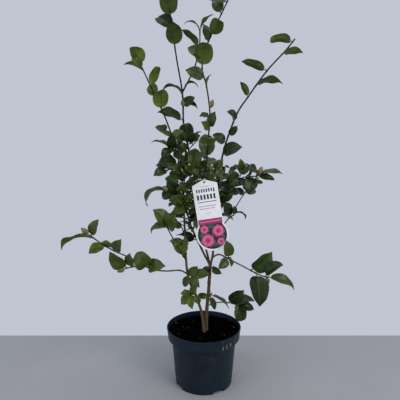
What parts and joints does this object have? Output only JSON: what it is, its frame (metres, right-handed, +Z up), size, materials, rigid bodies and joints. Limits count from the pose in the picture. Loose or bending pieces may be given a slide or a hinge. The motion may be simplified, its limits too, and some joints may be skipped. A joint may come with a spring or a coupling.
{
  "type": "potted camellia shrub",
  "caption": "Young camellia shrub with slender upright stems, low side boughs and glossy oval leaves, in a round dark nursery pot with a hanging plant label.",
  "frame": {"origin": "centre of the pot's flat underside, on the floor", "axes": "+Z up along the pot's axis, -Y towards the front, the side that the label faces, +X to the right as seen from the front"},
  "size_m": [0.5998, 0.3679, 1.0095],
  "materials": {
    "pot": "moulded, satin, scuffed",
    "soil": "moist peat compost",
    "bark": "smooth young bark",
    "leaf": "glossy evergreen leaf",
    "label": "printed card-weight plastic",
    "tie": "clear white plastic"
  },
  "bodies": {
    "root": {"pot": "pot", "soil": "soil", "main_stem": "bark", "left_stem": "bark", "inner_bough": "bark", "middle_leader": "bark", "right_leader": "bark", "right_bough": "bark", "left_low_bough": "bark", "right_low_bough": "bark", "right_side_bough": "bark", "right_inner_bough": "bark", "left_top_leaves": "leaf", "middle_top_leaves": "leaf", "right_top_leaves": "leaf", "right_high_leaves": "leaf", "middle_upper_leaves": "leaf", "middle_low_leaves": "leaf", "left_front_leaves": "leaf", "middle_dark_leaves": "leaf", "left_upper_side_leaves": "leaf", "left_cluster_high_leaves": "leaf", "left_cluster_low_leaves": "leaf", "inner_top_leaves": "leaf", "inner_side_leaves": "leaf", "left_side_leaves": "leaf", "left_low_middle_leaves": "leaf", "left_low_under_leaves": "leaf", "left_low_tip_leaves": "leaf", "right_low_middle_leaves": "leaf", "right_low_tip_leaves": "leaf", "right_cluster_leaves": "leaf", "right_side_middle_leaves": "leaf", "right_side_tip_leaves": "leaf", "right_side_low_leaves": "leaf", "right_inner_low_leaves": "leaf", "right_inner_tip_leaves": "leaf", "right_inner_leaf_leaves": "leaf", "inner_low_leaves": "leaf", "inner_middle_leaves": "leaf", "foot_left_leaves": "leaf", "foot_middle_leaves": "leaf", "foot_inner_leaves": "leaf", "foot_right_leaves": "leaf", "low_back_leaves": "leaf", "back_left_leaves": "leaf", "back_middle_leaves": "leaf", "back_right_leaves": "leaf", "front_middle_leaves": "leaf", "label": "label", "label_tie": "tie"}
  },
  "joints": []
}
